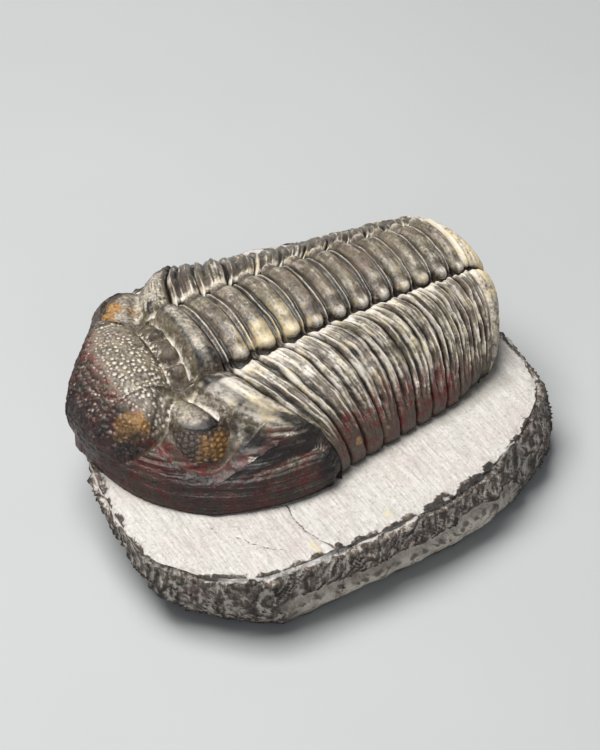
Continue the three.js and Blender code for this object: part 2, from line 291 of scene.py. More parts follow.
def back(s, q, scale=1.0):
    """Points of the smooth back at s behind the head and q from the right tip (-1) to the left one (1)."""
    a = np.abs(q)
    axis, fulcrum = along(9.8, 8.1, s) * scale, along(22.5, 13.8, s) * scale
    margin = (along(31.3, 23.0, s) - 1.3 * step(s, 38, THORAX)) * scale
    tail_lean = lerp(TAIL_TILT, slope(s), 0.3 * step(s, THORAX, THORAX + TAIL))
    tilt = np.where(s <= THORAX, slope(s), tail_lean)
    on_lobe = unit(a / LOBE) * math.pi / 2
    side = unit((a - LOBE) / (1 - LOBE))
    last = np.radians(lerp(96, 112, step(s, 34, THORAX)))
    bend = side**0.94 * last
    rounder = step(s, 0, 28)
    fall_power = lerp(0.95, 1.55, rounder)
    flank = np.where(a > LOBE, np.sin(bend) ** lerp(0.88, 1.0, rounder), 0)
    x = axis * np.sin(on_lobe) + (margin - axis) * flank
    upright = np.sign(np.cos(bend)) * np.abs(np.cos(bend)) ** fall_power
    lowest = -(np.abs(np.cos(last)) ** fall_power)
    inner = unit((x - axis) / (fulcrum - axis))
    out = unit((x - axis) / (margin - axis))
    tip = 6.1 - 7 * unit(s / THORAX) ** 2.2 + 5 * np.exp(-np.maximum(s, 0) / 7.5)
    bow = 3.5 + 13.5 * step(s, -2, 26) - 11.5 * step(s, 30, THORAX + 2)
    reach = (tip * out**2 + bow * out * (1 - out)) * scale
    y, z = np.interp(s, TRACK, TRACK_Y), START_HEIGHT + np.interp(s, TRACK, TRACK_Z)
    base = z + reach * np.sin(tilt)
    lobe_height = along(4.3, 3.7, s) * scale * np.cos(on_lobe) ** 0.86
    edge = np.minimum((TIP_HEIGHT - base) / np.cos(tilt), -0.4 * scale)
    fall = edge * (1 - upright) / (1 - lowest) + 0.9 * scale * (1 - np.exp(-6 * inner)) * (1 - inner)
    h = np.where(a <= LOBE, lobe_height, fall)
    py = y + reach * np.cos(tilt) - h * np.sin(tilt)
    pz = np.maximum(base + h * np.cos(tilt), TIP_HEIGHT - 0.7)
    return np.stack([np.sign(q) * x, py, pz], -1)


# ---- mesh


def to_row(points):
    """Fossil millimetres to metres in the row frame."""
    return points * 0.001 + ORIGIN


def deselect():
    """Leaves edit mode and selects nothing."""
    if bpy.context.object and bpy.context.object.mode != "OBJECT":
        bpy.ops.object.mode_set(mode="OBJECT")
    bpy.ops.object.select_all(action="DESELECT")


def sculpted_grid(name, points, layers):
    """Adds a grid and moves its vertices onto rows of points; layers are numbers kept on each vertex."""
    rows, columns = points.shape[:2]
    deselect()
    bpy.ops.mesh.primitive_grid_add(x_subdivisions=columns - 1, y_subdivisions=rows - 1, size=2)
    piece = bpy.context.object
    piece.name = piece.data.name = name
    mesh = piece.data
    if len(mesh.vertices) != rows * columns:
        raise RuntimeError(f"{name}: the grid has {len(mesh.vertices)} vertices, not {rows} x {columns}")
    co = np.empty(rows * columns * 3)
    mesh.vertices.foreach_get("co", co)
    co = co.reshape(-1, 3)
    order = np.lexsort((co[:, 0].round(6), co[:, 1].round(6)))
    placed = np.empty_like(co)
    placed[order] = to_row(points).reshape(-1, 3)
    mesh.vertices.foreach_set("co", placed.ravel())
    for key, values in layers.items():
        layer = mesh.attributes.new(key, "FLOAT", "POINT")
        kept = np.empty(rows * columns, np.float32)
        kept[order] = values.ravel()
        layer.data.foreach_set("value", kept)
    mesh.update()
    return piece


def close_underside():
    """Fills the open edge of the new shell, as with F in edit mode, and turns the faces outwards."""
    bpy.ops.object.mode_set(mode="EDIT")
    bpy.ops.mesh.select_mode(type="EDGE")
    bpy.ops.mesh.select_all(action="DESELECT")
    bpy.ops.mesh.select_non_manifold(
        extend=False, use_wire=False, use_boundary=True, use_multi_face=False,
        use_non_contiguous=False, use_verts=False,
    )
    bpy.ops.mesh.edge_face_add()
    bpy.ops.mesh.select_mode(type="VERT")
    finish_faces()


def weld_seams():
    """Merges the new piece's rows that meet at seams and poles, and turns the faces outwards."""
    bpy.ops.object.mode_set(mode="EDIT")
    bpy.ops.mesh.select_all(action="SELECT")
    bpy.ops.mesh.remove_doubles(threshold=1e-6)
    finish_faces()


def finish_faces():
    """Turns the faces outwards, leaves edit mode and smooths all but the sharpest edges."""
    bpy.ops.mesh.select_all(action="SELECT")
    bpy.ops.mesh.normals_make_consistent(inside=False)
    bpy.ops.object.mode_set(mode="OBJECT")
    bpy.ops.object.shade_smooth_by_angle(angle=math.radians(75))


def padded(points, layers, tuck_front, tuck_rear):
    """Adds a skirt down into the bedding round a sheet of points.

    A tuck of 1 draws the foot of that edge in to the edge's tips."""

    def foot(edge, tuck):
        low = edge.copy()
        low[:, 1] = lerp(edge[:, 1], np.minimum(edge[:, 1], edge[0, 1]), tuck)
        low[:, 2] = BURIED
        return low

    rows = np.concatenate([foot(points[0], tuck_front)[None], points, foot(points[-1], tuck_rear)[None]])
    left, right = rows[:, :1].copy(), rows[:, -1:].copy()
    left[..., 2] = right[..., 2] = BURIED
    left[..., 0] *= 0.97
    right[..., 0] *= 0.97
    grown = np.concatenate([left, rows, right], 1)
    return grown, {k: np.pad(v, 1, mode="edge") for k, v in layers.items()}


def add_plate(name, sheet, tucks, material, node):
    """Adds a plate of shell from its sheet of points and their layers."""
    piece = sculpted_grid(name, *padded(*sheet, *tucks))
    close_underside()
    finish_piece(piece, material, node)


def finish_piece(piece, material, node):
    """Gives a piece its material and its place in the frame."""
    piece.data.materials.clear()
    piece.data.materials.append(material)
    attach(piece, "root")
    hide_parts(node)


# ---- shader maths


class Term:
    """A number or vector inside a material: arithmetic on it adds Math nodes."""

    def __init__(self, paint, socket):
        self.paint, self.socket = paint, socket

    def math(self, operation, *values):
        return self.paint.node("ShaderNodeMath", {"operation": operation}, dict(enumerate(values)))

    def __add__(self, other):
        return self.math("ADD", self, other)

    __radd__ = __add__

    def __mul__(self, other):
        return self.math("MULTIPLY", self, other)

    __rmul__ = __mul__

    def __sub__(self, other):
        return self.math("SUBTRACT", self, other)

    def __rsub__(self, other):
        return self.math("SUBTRACT", other, self)

    def between(self, low, high, start=0.0, end=1.0):
        """Smooth step from start at low to end at high."""
        settings = {"interpolation_type": "SMOOTHSTEP"}
        values = {"Value": self, "From Min": low, "From Max": high, "To Min": start, "To Max": end}
        return self.paint.node("ShaderNodeMapRange", settings, values)


class Paint:
    """A material under construction."""

    def __init__(self, name, roughness, coat=0.0):
        self.material = bpy.data.materials.new(name)
        self.material.use_nodes = True
        self.tree = self.material.node_tree
        self.shader = self.tree.nodes["Principled BSDF"]
        self.shader.inputs["Roughness"].default_value = roughness
        self.shader.inputs["Coat Weight"].default_value = coat
        self.place = self.node("ShaderNodeTexCoord", {}, {}, "Object")

    def node(self, kind, settings, inputs, output=0):
        """Adds a node; its sockets are picked by identifier, name or place."""
        made = self.tree.nodes.new(kind)
        for key, value in settings.items():
            setattr(made, key, value)

        def pick(sockets, key):
            return {s.identifier: s for s in sockets}.get(key) or sockets[key]

        for key, value in inputs.items():
            socket = pick(made.inputs, key)
            if isinstance(value, Term):
                self.tree.links.new(value.socket, socket)
            else:
                socket.default_value = value
        return Term(self, pick(made.outputs, output))

    def layer(self, key):
        """A number kept on the mesh's vertices."""
        return self.node("ShaderNodeAttribute", {"attribute_name": key}, {}, "Fac")

    def noise(self, size, detail=4.0, rough=0.55, stretch=None, turn=(0, 0, 0)):
        """Noise from 0 to 1; size is in millimetres."""
        place = self.place
        if stretch:
            mapping = {"Vector": place, "Rotation": turn, "Scale": stretch}
            place = self.node("ShaderNodeMapping", {}, mapping)
        values = {"Vector": place, "Scale": 1000 / size, "Detail": detail, "Roughness": rough}
        return self.node("ShaderNodeTexNoise", {}, values, "Fac")

    def mix(self, factor, a, b):
        """Colour a, or b where factor is 1."""
        a, b = [c if isinstance(c, Term) else (*c, 1.0) for c in (a, b)]
        inputs = {"Factor_Float": factor, "A_Color": a, "B_Color": b}
        return self.node("ShaderNodeMix", {"data_type": "RGBA"}, inputs, "Result_Color")

    def over(self, base, *coats):
        """Colours laid over a base in turn, each with the mask it goes through."""
        for mask, colour in coats:
            base = self.mix(mask, base, colour)
        return base

    def set(self, key, value):
        """Links a socket of the shader."""
        self.tree.links.new(value.socket, self.shader.inputs[key])

    def bump(self, height, distance, strength):
        """Fine relief; distance is in millimetres."""
        values = {"Height": height, "Distance": distance * 0.001, "Strength": strength}
        self.set("Normal", self.node("ShaderNodeBump", {}, values, "Normal"))


def shell_material(name, look, wine, cream_bias, shine=0.65):
    """Mineralised shell: glossy brown, pale crests (partly wear, partly painted highlight), darker low
    places and black grooves (painted shade), red and ochre patches.
    """
    paint = Paint(name, 0.36, 0.15 * shine)
    paint.shader.inputs["Specular IOR Level"].default_value = shine
    crest, relief = paint.layer("crest"), paint.layer("relief")
    broad, patch = paint.noise(7.0, 3), paint.noise(2.4, 5, 0.6)
    fine, speck = paint.noise(0.5, 6, 0.66), paint.noise(0.17, 3, 0.6)
    red = paint.layer("wine") * (patch * 0.6 + fine * 0.7).between(0.57, 0.74)
    # pale on the crests, partly wear and partly painted highlight
    worn = (crest * 1.2 + fine * 1.2 + patch * 0.6 - 0.72).between(-0.02, 1.05)
    creamy = (paint.layer("cream") * 1.1 + patch * 0.9 + crest * 0.25 - 0.95).between(0.0, 0.8)
    rusty = (paint.layer("rust") * 1.6 + fine * 0.5 - 0.75).between(0.1, 0.45)
    fresh = paint.mix(broad.between(0.36, 0.64), look.middle, look.olive)
    fresh = paint.mix((fine * 0.6 + patch * 0.6).between(0.40, 0.68), look.dark, fresh)
    pale = paint.mix(patch.between(0.46 - cream_bias, 0.72 - cream_bias), look.ridge, look.cream)
    colour = paint.over(
        fresh,
        # painted shade: where the surface is hollow (negative crest) it darkens
        (crest.between(-0.05, -0.7) * 0.8, look.dark),
        ((red * wine).between(0.05, 0.8), look.wine),
        (worn * (1 - red * 0.8) * 0.9, pale),
        (creamy * 0.85, look.cream),
        (rusty, paint.mix(fine.between(0.38, 0.62), (0.16, 0.075, 0.022), look.rust)),
        # painted shade: the lowest relief, in the grooves, goes near black
        (relief.between(-0.30, -1.05) * 0.95, look.furrow),
        (speck.between(0.62, 0.74) * 0.35, look.ridge),
    )
    paint.set("Base Color", colour)
    paint.set("Roughness", fine.between(0.3, 0.7, 0.28, 0.52))
    streak = paint.noise(0.9, 4, 0.6, (1.0, 2.6, 1.4))
    paint.bump(fine * 0.7 + speck * 0.2 + streak * 0.5, 0.22, 0.9)
    return paint.material


def stone_material(look):
    """Off-white limestone, scraped on top and tooled dark round the sides."""
    paint = Paint("limestone", 0.85)
    side, crest, layer = paint.layer("side"), paint.layer("crest"), paint.layer("layer")
    broad, patch = paint.noise(14.0, 4), paint.noise(3.2, 5, 0.6)
    fine, speck = paint.noise(0.7, 7, 0.72), paint.noise(0.22, 3, 0.6)
    scrape_a = paint.noise(0.42, 4, 0.6, (0.07, 1.0, 1.0), (0, 0, math.radians(28)))
    scrape_b = paint.noise(0.38, 4, 0.6, (0.09, 1.0, 1.0), (0, 0, math.radians(64)))
    scratch = scrape_a * 0.6 + scrape_b * 0.4
    stroke = paint.noise(0.7, 3, 0.6, (1.0, 1.0, 0.2), (math.radians(28), math.radians(14), 0))
    top = paint.over(
        paint.mix(broad.between(0.42, 0.62), look.top, look.blush),
        (scratch.between(0.47, 0.62) * 0.5, (0.70, 0.68, 0.645)),
        (patch.between(0.46, 0.70) * 0.5, (0.42, 0.385, 0.35)),
        (fine.between(0.50, 0.66) * 0.6, (0.25, 0.225, 0.20)),
        (patch.between(0.50, 0.34) * 0.35, (0.36, 0.33, 0.31)),
        (scratch.between(0.50, 0.38) * 0.35, (0.30, 0.275, 0.245)),
        # darker grey in a band along the animal's margin, broken up by the mottling
        ((paint.layer("margin_band") + patch - 0.6).between(0.1, 0.9) * 0.6, (0.27, 0.255, 0.22)),
        (paint.layer("stain").between(0.2, 0.9) * 0.7, (0.60, 0.50, 0.28)),
    )
    chiselled = stroke + crest * 0.15
    rim = paint.over(
        paint.mix((fine * 0.6 + patch * 0.5).between(0.42, 0.66), (0.075, 0.060, 0.048), look.side),
        (broad.between(0.48, 0.60) * 0.6, (0.15, 0.095, 0.085)),
        ((crest * 0.9 + fine * 1.0 + patch * 0.4 - 0.75).between(-0.1, 0.8), look.bruise),
        (chiselled.between(0.53, 0.64) * 0.75, look.bruise),
        (chiselled.between(0.47, 0.37) * 0.75, (0.035, 0.028, 0.022)),
        # painted shade: the hollows of the tool marks go near black
        ((crest * -1.0 + patch * 0.3 - 0.15).between(0.1, 0.8) * 0.85, (0.028, 0.022, 0.018)),
    )
    lower = paint.mix(patch.between(0.45, 0.68), look.layer, (0.42, 0.35, 0.29))
    # painted shade: the lower layer darkens in its hollows
    lower = paint.mix(crest.between(-0.1, -0.5) * 0.8, lower, (0.07, 0.055, 0.045))
    ragged = paint.layer("gap") + patch * 0.5 - 0.25
    colour = paint.over(
        top,
        ((side + patch * 0.5 - 0.25).between(0.3, 0.7), paint.mix(layer, rim, lower)),
        (ragged.between(0.30, 0.06) * 0.9, look.vein),
        (speck.between(0.64, 0.72) * 0.5, (0.13, 0.11, 0.10)),
    )
    paint.set("Base Color", colour)
    paint.set("Roughness", fine.between(0.3, 0.7, 0.62, 0.92))
    paint.bump(fine * 0.9 + speck * 0.35 + scratch * 0.4 + side * stroke * 3.0, 0.34, 0.9)
    return paint.material


def eye_material(look):
    """Orange-brown lenses with dark gaps."""
    paint = Paint("eye_lenses", 0.36)
    fine, patch = paint.noise(0.4, 5, 0.6), paint.noise(1.8, 4)
    colour = paint.mix(fine.between(0.35, 0.65), (0.14, 0.065, 0.022), look.rust)
    kept = (paint.layer("rust") + patch * 1.2 - 0.85).between(0.0, 0.6)
    dull = paint.mix(fine.between(0.35, 0.7), (0.02, 0.012, 0.010), (0.13, 0.10, 0.08))
    colour = paint.mix(kept, dull, colour)
    colour = paint.mix(paint.layer("relief").between(0.0, -0.4) * 0.6, colour, (0.02, 0.012, 0.008))
    paint.set("Base Color", colour)
    paint.set("Roughness", fine.between(0.3, 0.7, 0.28, 0.5))
    paint.bump(fine, 0.08, 0.8)
    return paint.material


# ---- thorax and tail

# rows and columns of the pieces' grids
SEGMENT_GRID, TAIL_GRID, HEAD_GRID, EYE_GRID = (50, 420), (210, 400), (232, 404), (52, 150)
LOWEST = 0.15  # thorax and tail come no nearer the bedding than this


def ring_relief(t, look):
    """Height across an axial ring: thin half ring in front, then the main ring, steeper behind."""
    m = unit((t - 0.29) / 0.66) ** 1.15
    main = np.maximum(1 - np.abs(2 * m - 1) ** 2.3, 0) ** 0.6
    half = hump(t, 0.13, 0.05)
    return -0.78 * look.furrow_depth + look.ring_height * main + 0.55 * half, main


def cusp(t, middle, width):
    """Sharp-crested ridge of height 1."""
    return np.exp(-np.abs(t - middle) / width)


def pleura_relief(t, p, along_rib, number, look):
    """Height across a pleura: wavering ridges with a spindle-shaped furrow between; p runs to the tip."""

    def wander(seed, size=2.6):
        return ripple(along_rib / size, number * 5.3, 0, 3, seed)

    t = t + 0.055 * wander(101, 5.0)
    spindle = np.sin(np.pi * unit(p / 0.85)) ** 0.8
    front = (0.62 + 0.25 * wander(102)) * cusp(t, 0.15 + 0.05 * p, 0.085)
    middle = (0.30 + 0.35 * wander(103)) * cusp(t, 0.50 + 0.07 * p, 0.07)
    rear = (0.85 + 0.25 * wander(104)) * cusp(t, 0.74 + 0.02 * p, 0.12)
    furrow = hump(t, 0.33 + 0.12 * p, 0.085) * spindle * (0.9 + 0.4 * wander(105))
    ends = np.maximum(hump(t, -0.03, 0.07), hump(t, 1.03, 0.10))
    tip = step(p, 0.52, 0.80)
    bar = 0.65 * np.maximum(1 - np.abs(2 * t - 1) ** 2.2, 0) ** 0.7 - 0.35
    sharp = look.ridge_height * (front + middle + rear) - 0.40 - 0.78 * furrow
    return lerp(sharp, bar, 0.85 * tip) - look.furrow_depth * ends * lerp(0.72, 0.6, tip)


def shell_layers(points, relief, crest_gain, rows, columns):
    """How far each point stands out, and its height in the relief; the shell's colours follow both: paler
    where it stands out (partly wear, partly painted highlight), darker in low places and black in the
    grooves (painted shade).
    """
    normals = grid_normals(points)
    sharp = convexity(points, normals, rows, columns)
    wide = convexity(points, normals, rows * 3, columns * 3)
    crest = np.tanh(sharp * crest_gain + wide * crest_gain * 0.3)
    return {"crest": crest, "relief": relief}


def body_patches(points, layers):
    """Coloured patches of the thorax and tail."""
    wine = blobs(
        points, (1.5, (26, 28, 6), (5, 15, 6)), (1.125, (29.5, 15, 7), (3, 4, 5)),
        (0.625, (25, 40, 6), (5, 7, 5)), (0.4375, (0, 32, 21), (9, 16, 4)),
    )
    cream = blobs(
        points, (0.9, (7, 9, 20), (3.5, 8, 4)), (1.2, (6, 59, 13), (9, 5, 7)),
        (0.75, (8.6, 14, 18.3), (2.2, 13, 2.6)), (0.6, (4, 15, 22), (3, 3, 2)),
        (0.6, (-18, 52, 14), (10, 12, 8)), (0.45, (-16, 20, 17), (9, 22, 5)),
    )
    rust = blobs(
        points, (1, (29.5, 17.2, 5.5), (1, 1, 1)), (1, (28.7, 24.5, 4.5), (1.1, 1, 0.9)),
        (0.7, (7.5, 8, 18.5), (1.6, 1.5, 1.5)),
    )
    for key, values in (("wine", wine), ("cream", cream), ("rust", rust)):
        layers[key] = unit(values)


def build_segment(number, look, material):
    """One thoracic segment, from under the one ahead to the groove behind it."""
    start, end = segment_start(number), segment_start(number + 1)
    rows, columns = SEGMENT_GRID
    t = np.linspace(-0.12, 1.0, rows)[:, None] + np.zeros((1, columns))
    q = np.linspace(-1, 1, columns)[None, :] + 0 * t
    points = back(start + t * (end - start), q)
    normals = grid_normals(points)
    a = np.abs(q)
    mm = 42 * q
    pitch = end - start
    wave = ripple(mm / 7, 0.7 * t, number * 3.7, 3, 5)
    ring, main = ring_relief(t + 0.04 * wave, look)
    uneven = 1 + 0.25 * ripple(mm / 5, t, number * 2.9, 2, 6)
    ring = ring * uneven + 0.75 * hump(a, 0.220, 0.034) * main - 0.42 * hump(a, 0.155, 0.03) * main
    ring -= 0.7 * step(a, 0.256, 0.268) * main
    p = unit((a - LOBE) / (1 - LOBE))
    side = pleura_relief(t, p, mm, number, look)
    bridge = hump(t, 0.10, 0.13)
    groove = hump(a, 0.270, 0.009) * (1 - 0.97 * bridge)
    relief = lerp(ring, side, step(a, 0.264, 0.282)) - 0.95 * groove
    under = step(t, 0.02, -0.10)
    fibre = ripple(mm / 6.5, t * pitch / 0.95 + 0.6 * wave, number * 1.7, 3, 31)
    thread = ripple(mm / 3.5, t * pitch / 0.42, number * 1.3, 2, 37)
    lined = lerp(0.35, 1.0, step(a, 0.25, 0.32)) * lerp(1, 0.3, step(p, 0.55, 0.8))
    rough = look.grain * (1.1 * fibre + 0.35 * thread) * lined
    rough += look.grain * (0.8 * grain(points, 2.6, 4, 3) + 0.35 * grain(points, 0.8, 3, 9))
    shaped = points + normals * (relief + rough - 0.8 * under - 0.25 * step(p, 0.6, 1.0))[..., None]
    shaped[..., 2] = np.maximum(shaped[..., 2], LOWEST)
    # the relief layer paints the grooves black and darkens the part tucked under the plate ahead, both as
    # painted shade
    layers = shell_layers(shaped, relief - 0.6 * under + rough, 6.0, 1, 2)
    # the crest layer is made less pale on the outer flanks and the axial rings, and on the far side (-q) as
    # painted shade; it is made paler along the threads and the bridges
    dull = 0.55 * step(p, 0.42, 0.78) + 0.20 * (1 - step(a, 0.24, 0.28)) + 0.42 * step(-q, 0.27, 0.34)
    bright = 0.6 * thread * lined - dull + 0.5 * bridge * hump(a, 0.268, 0.02)
    layers["crest"] = np.clip(layers["crest"] + bright, -1, 1)
    body_patches(shaped, layers)
    tucks = [float(step(start + f * pitch, 32, THORAX)) for f in (0, 1)]
    name, node = f"thoracic_plate_{number + 1:02d}", f"thoracic_segment_{number + 1:02d}"
    add_plate(name, (shaped, layers), tucks, material, node)


def build_tail(look, material):
    """Tail shield: narrowing rings on the axis, swept ribs at the sides and a smooth border."""
    rows, columns = TAIL_GRID
    t = (np.linspace(0, 1, rows) ** 1.05 * 1.005 - 0.022)[:, None]
    q = np.linspace(-1, 1, columns)[None, :]
    scale = np.clip(1 - t, 0.015, 1) ** 0.6
    s = THORAX + t * TAIL + 0 * q
    points = back(s, q + 0 * t, scale + 0 * q)
    normals = grid_normals(points)
    a = np.abs(q)
    p = unit((a - LOBE) / (1 - LOBE))
    wave = ripple(7 * q / 1.5, 4 * t / 1.5, 0, 3, 8)
    phase = unit(t + 0.01 * wave) ** 0.86 * 7.5
    ring = np.maximum(np.sin(np.pi * (phase % 1)), 0) ** 0.6
    rib_phase = unit(t - 0.05 * p + 0.012 * wave) ** 0.9 * 6.0
    rib = np.maximum(np.sin(np.pi * (rib_phase % 1)), 0) ** 0.7
    fade = 1 - step(t, 0.72, 0.95)
    ribs = rib * (1 - step(p, 0.62, 0.86)) * fade
    axis, flanks = 1.35 * ring * fade - 0.85, 1.15 * ribs - 0.75 * (1 - step(p, 0.6, 0.85))
    relief = lerp(axis, flanks, step(a, 0.235, 0.285))
    relief -= 0.9 * hump(a, 0.262, 0.022) * fade + 1.4 * hump(t, -0.02, 0.02)
    rough = look.grain * (0.8 * grain(points, 2.0, 4, 13) + 0.5 * grain(points, 0.6, 3, 19))
    shaped = points + normals * (relief * np.minimum(scale * 1.4, 1) + rough)[..., None]
    shaped[..., 2] = np.maximum(shaped[..., 2], LOWEST)
    # the relief layer paints the tail's grooves black, as painted shade
    layers = shell_layers(shaped, relief + rough, 9.0, 2, 2)
    body_patches(shaped, layers)
    add_plate("tail_shield", (shaped, layers), (1.0, 1.0), material, "pygidium")


# ---- head and eyes

HEAD_LENGTH, HEAD_TURN = 25.5, math.tan(math.radians(5))
EYE_X, EYE_Y = 16.9, -8.0
EYE_FOOT, EYE_TOP = (7.4, 7.9), (5.0, 13.9)  # radius and height of the lens wall's lower and upper edge
LENS_FILES, LENSES_A_FILE = 17, 6
LENS_WALL = 0.0011  # metres


def turned(points, share):
    """The head lies slightly askew: nothing at the thorax, fully from share 1 forward."""
    out = points.copy()
    out[..., 0] = points[..., 0] + points[..., 1] * HEAD_TURN * share
    out[..., 1] = points[..., 1] - points[..., 0] * HEAD_TURN * share
    return out


def build_head(look, material):
    """Head shield: glabella with its knobs, cheeks, eye lobes, borders and the occipital ring."""
    rows, columns = HEAD_GRID
    u = np.linspace(-1, 1, columns)[None, :]
    t = (np.sin(np.linspace(0, 1, rows) * math.pi / 2) ** 0.92 * 0.998)[:, None]
    rear = back(0.0 * u, u * 0.951)
    rear_x = rear[..., 0]
    left = u > 0
    width = np.where(left, 33 * (1 - t**3) ** 0.45, 31 * (1 - t**1.9) ** 0.9)
    rear_half = np.abs(rear_x).max()
    share = np.abs(rear_x) / rear_half + 0 * t
    x = rear_x / rear_half * lerp(width, rear_half, step(t, 0.06, 0))
    ax = np.abs(x)
    y = (rear[..., 1] - 0.15) * (1 - t) - HEAD_LENGTH * t
    rear_z = rear[..., 2] + 0 * t

    # cheeks, rounding over to the margin, hollow outside the eyes
    room = np.maximum((1 - share**2.6) * (1 - t**3), 0)
    cheek = 0.8 + 14.6 * room**0.46
    hollow = hump(ax, 24.5, 5.0) * hump(y, -8.0, 6.0)
    cheek -= np.where(left, 2.8, 1.2) * hollow

    # glabella: large frontal lobe, a narrow band behind it
    frontal_in = 1 - (ax / 18) ** 2.3 - (np.abs(y + 16) / np.where(y < -16, 10.4, 9.4)) ** 2.2
    frontal = 8.2 + 11.0 * dome(frontal_in) - 22 * np.maximum(-frontal_in, 0)
    frontal = np.maximum(frontal, 0) * np.sqrt(1 - (1 - unit(room / 0.42)) ** 2.6)
    band = 13.6 + 5.2 * dome(1 - (ax / 9.4) ** 2) - 0.6 * step(y, -8.4, -9.6)
    band = np.where((y > -10.5) & (ax < 9.4), band, 0)
    front = highest(cheek, frontal, 1.2)
    on_glabella = step(frontal - cheek, -0.25, 0.8)
    crease = hump(frontal - cheek, -0.2, 1.3) * step(ax, 4, 9) * step(cheek, 4.0, 8.0)
    front -= 0.95 * crease
    front = highest(front, band, 0.4)
    front -= 0.8 * hump(y, -9.9, 0.5) * step(ax, 9.5, 7)

    # eye lobes
    ex, ey = ax - EYE_X, y - EYE_Y
    r = np.hypot(ex, ey)
    facing = step(ex / np.maximum(r, 0.1), -0.35, 0.1)
    knob = 13.9 + 1.5 * (1 - unit(r / 5.4) ** 2.2) - 2.6 * np.maximum(r - 4.9, 0)
    front = highest(front, knob, 0.9)
    front -= 0.6 * hump(r, 6.6, 0.8) * (1 - facing) + 0.9 * hump(r, 8.2, 0.9) * facing
    on_eye = step(r, 5.8, 4.6)

    # posterior border: a sharp ridge that runs back to the corner, with a groove ahead of it
    line_x = [9.8, 13, 20.7, 25, 28, 29.2, 29.9]
    line_y = [-5.7, -4.9, -1.6, 1.7, 5.4, 9.0, 11.2]
    middle = np.interp(ax, line_x, line_y)
    steep = np.gradient(np.interp(np.linspace(0, 34, 341), line_x, line_y), 0.1)
    tilt = np.interp(ax, np.linspace(0, 34, 341), steep)
    off = (y - middle) / np.sqrt(1 + tilt**2)
    beyond = step(-off, -0.6, lerp(3.0, 5.6, step(ax, 12, 24)))
    beyond = np.where(ax < 9.8, step(y, -5.4, -6.2), beyond)
    z = lerp(rear_z, front, beyond)
    out_of_axis = step(ax, 10.0, 12.5)
    roll = np.where(off < 0.6, hump(off, 0.6, 1.3), np.exp(-np.maximum((off - 0.6) / 3.4, 0) ** 2))
    ridge = roll * out_of_axis * np.where(left, 1.0, 0.35) * step(ax, 33, 28)
    gutter = hump(off, -2.5, 1.1) * out_of_axis * step(ax, 32, 27) * np.where(left, 1.0, 0.4)
    z += 1.35 * ridge - lerp(2.0, 1.1, step(ax, 19, 26)) * gutter
    last = step(t, 0.030, 0.0)
    z -= 0.9 * last

    # occipital ring and its furrow
    m = unit((y + 5.3) / 5.0)
    ring = np.maximum(1 - np.abs(2 * m - 1) ** 2.0, 0) ** 0.75
    near_axis = step(ax, 10.3, 9.6)
    z += (1.2 * ring - 0.5) * near_axis - 1.1 * hump(y, -5.75, 0.5) * near_axis
    z += 0.4 * hump(ax, 7.9, 1.3) * ring - 1.1 * hump(ax, 10.4, 0.6) * step(y, -7.5, -5.5)
    near_pea, far_pea = np.hypot(x - 3.6, y + 7.8), np.hypot(x + 2.4, y + 7.8)
    moat = hump(near_pea, 2.1, 0.45) + 0.8 * hump(far_pea, 1.7, 0.4)
    z -= 0.45 * moat
    pea = 1.5 * dome(1 - near_pea**2 / 3.1) + 1.1 * dome(1 - far_pea**2 / 2.1)
    pea += 0.5 * dome(1 - ((ax - 7.2) ** 2 / 1.6 + (y + 7.6) ** 2 / 2.6))
    z += pea

    # the right margin comes down to the stone, and the frontal lobe swells over the front border
    z = lerp(z, np.minimum(z, 0.8), np.where(left, 0, step(share, 0.93, 1.0)))
    swell = 2.2 * np.sin(np.pi * unit((z - 1.0) / 15)) * step(t, 0.55, 0.95) * step(ax, 22, 6)
    points = np.stack([x, y - swell, np.maximum(z, 0.3)], -1)
    points = turned(points, step(t, 0, 0.3) + 0 * x)
    normals = grid_normals(points)
    relief = convexity(points, normals, 9, 9) * 0.9
    bumps = warts(points, 1.05, look.tubercle_size, 41)
    small = warts(points, 0.80, 0.26, 67)
    low_down = step(room, 0.14, 0.03)
    rough = look.grain * (1.0 * grain(points, 2.6, 4, 23) + 0.5 * grain(points, 0.8, 3, 29))
    rub = ripple(share * 13, z / 0.62, 0, 4, 83) * step(1 - t**3, 0.0, 0.06)
    detail = (0.85 * bumps - 0.14) * on_glabella * (1 - low_down)
    elsewhere = (1 - on_glabella) * step(beyond, 0.5, 1.0) * (1 - on_eye) * step(y, -5, -9)
    detail += 0.55 * small * elsewhere
    fringe = step(room, 0.52, 0.26)
    lines = 0.24 * rub * fringe
    lined = 0.16 * ripple(ax / 3.2, off / 0.55, 0, 3, 78) * step(off, -3.5, -0.5) * out_of_axis
    shaped = points + normals * (detail + rough + lines + lined)[..., None]
    shaped[..., 2] = np.maximum(shaped[..., 2], 0.12)
    # painted shade: hollows, creases, the border gutter, the rear edge, the moats round the knobs, the cheek
    # hollow, the spaces between the tubercles and the low front border take the furrow colour through this
    # depth; the knobs and tubercles stay lighter
    painted_shade_depth = np.clip(relief, -1.4, 0.6) * 1.3 - 0.5 * crease - 1.0 * gutter - 0.8 * last
    painted_shade_depth += 0.8 * pea - 0.9 * moat - 0.35 * hollow
    painted_shade_depth -= 0.35 * step(room, 0.5, 0.15) * step(off, 0, -2)
    painted_shade_depth -= (0.30 - 1.2 * bumps) * on_glabella * 0.5
    painted_shade_depth -= 0.24 * fringe * (1 - on_eye)
    layers = shell_layers(shaped, painted_shade_depth + rough, 5.5, 1, 1)
    on_cheek = (1 - on_glabella) * (1 - on_eye) * step(off, 0, -2) * (y < -3)
